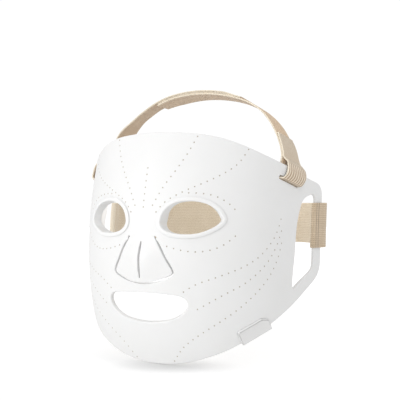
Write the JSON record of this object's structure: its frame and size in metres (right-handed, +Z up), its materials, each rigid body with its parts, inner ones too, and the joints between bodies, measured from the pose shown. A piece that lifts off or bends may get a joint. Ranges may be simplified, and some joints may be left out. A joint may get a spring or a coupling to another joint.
{
  "type": "led face mask",
  "caption": "Curved silicone light mask with eye, nose and mouth openings, eye shields, inlet housing, crown strap and rear head band.",
  "frame": {"origin": "on the front face of the mask, on its centreline, at the height of the eye openings", "axes": "+Z up the face, +Y from the mask towards the wearer's head, +X towards the wearer's left"},
  "size_m": [0.2218, 0.2102, 0.2347],
  "materials": {
    "silicone": "matte translucent white silicone",
    "skin": "soft matte silicone against the face",
    "webbing": "beige woven elastic webbing",
    "hook": "beige hook and loop tape",
    "housing": "satin white plastic",
    "strip": "amber flexible circuit film",
    "ribbon": "amber flexible circuit film",
    "board": "green circuit board",
    "steel": "bright stamped steel"
  },
  "bodies": {
    "mask": {"front_shell": "silicone", "rear_skin": "skin", "led_strip_centre": "strip", "led_strip_forehead_inner_left": "strip", "led_strip_forehead_outer_left": "strip", "led_strip_brow_left": "strip", "led_strip_under_eye_left": "strip", "led_strip_cheek_upper_left": "strip", "led_strip_cheek_middle_left": "strip", "led_strip_jaw_left": "strip", "flex_ribbon_left": "ribbon", "led_strip_forehead_inner_right": "strip", "led_strip_forehead_outer_right": "strip", "led_strip_brow_right": "strip", "led_strip_under_eye_right": "strip", "led_strip_cheek_upper_right": "strip", "led_strip_cheek_middle_right": "strip", "led_strip_jaw_right": "strip", "flex_ribbon_right": "ribbon", "eye_shield_left": "silicone", "eye_shield_right": "silicone", "inlet_housing_front": "housing", "inlet_housing_back": "housing", "charging_inlet": "steel", "driver_board": "board", "crown_strap_wrap_left": "webbing", "crown_strap_wrap_right": "webbing"},
    "nose_flap": {"nose_flap": "silicone"},
    "crown_strap": {"crown_strap_left_half": "webbing", "crown_strap_right_half": "webbing", "crown_strap_overlap_hook": "hook", "crown_strap_right_end": "webbing"},
    "crown_tab": {"crown_strap_tab": "webbing", "crown_strap_tab_hook": "hook"},
    "rear_band": {"rear_band_span": "webbing", "rear_band_wrap_left": "webbing", "rear_band_wrap_right": "webbing", "rear_band_right_end": "webbing"},
    "rear_tab": {"rear_band_tab": "webbing", "rear_band_tab_hook": "hook"}
  },
  "joints": [
    {"name": "nose_flap_lift", "type": "hinge", "parent": "mask", "child": "nose_flap", "pos_m": [0, -0.0015, -0.0144], "axis": [-1, 0, 0], "range_deg": [-6, 30], "stiffness_Nm_per_rad": 0.02},
    {"name": "crown_strap_swing", "type": "hinge", "parent": "mask", "child": "crown_strap", "pos_m": [0, 0.09096, 0.05346], "axis": [1, 0, 0], "range_deg": [-25, 35]},
    {"name": "crown_tab_peel", "type": "hinge", "parent": "crown_strap", "child": "crown_tab", "pos_m": [0.09867, 0.0845, 0.04296], "axis": [0.2102, 0.8885, -0.4079], "range_deg": [0, 40]},
    {"name": "rear_band_slide", "type": "slide", "parent": "mask", "child": "rear_band", "axis": [0, 0.0797, 0.9968], "range_m": [-0.008, 0.003]},
    {"name": "rear_tab_peel", "type": "hinge", "parent": "rear_band", "child": "rear_tab", "pos_m": [0.1104, 0.1258, -0.0075], "axis": [0, -0.1009, -0.9949], "range_deg": [0, 55]}
  ]
}
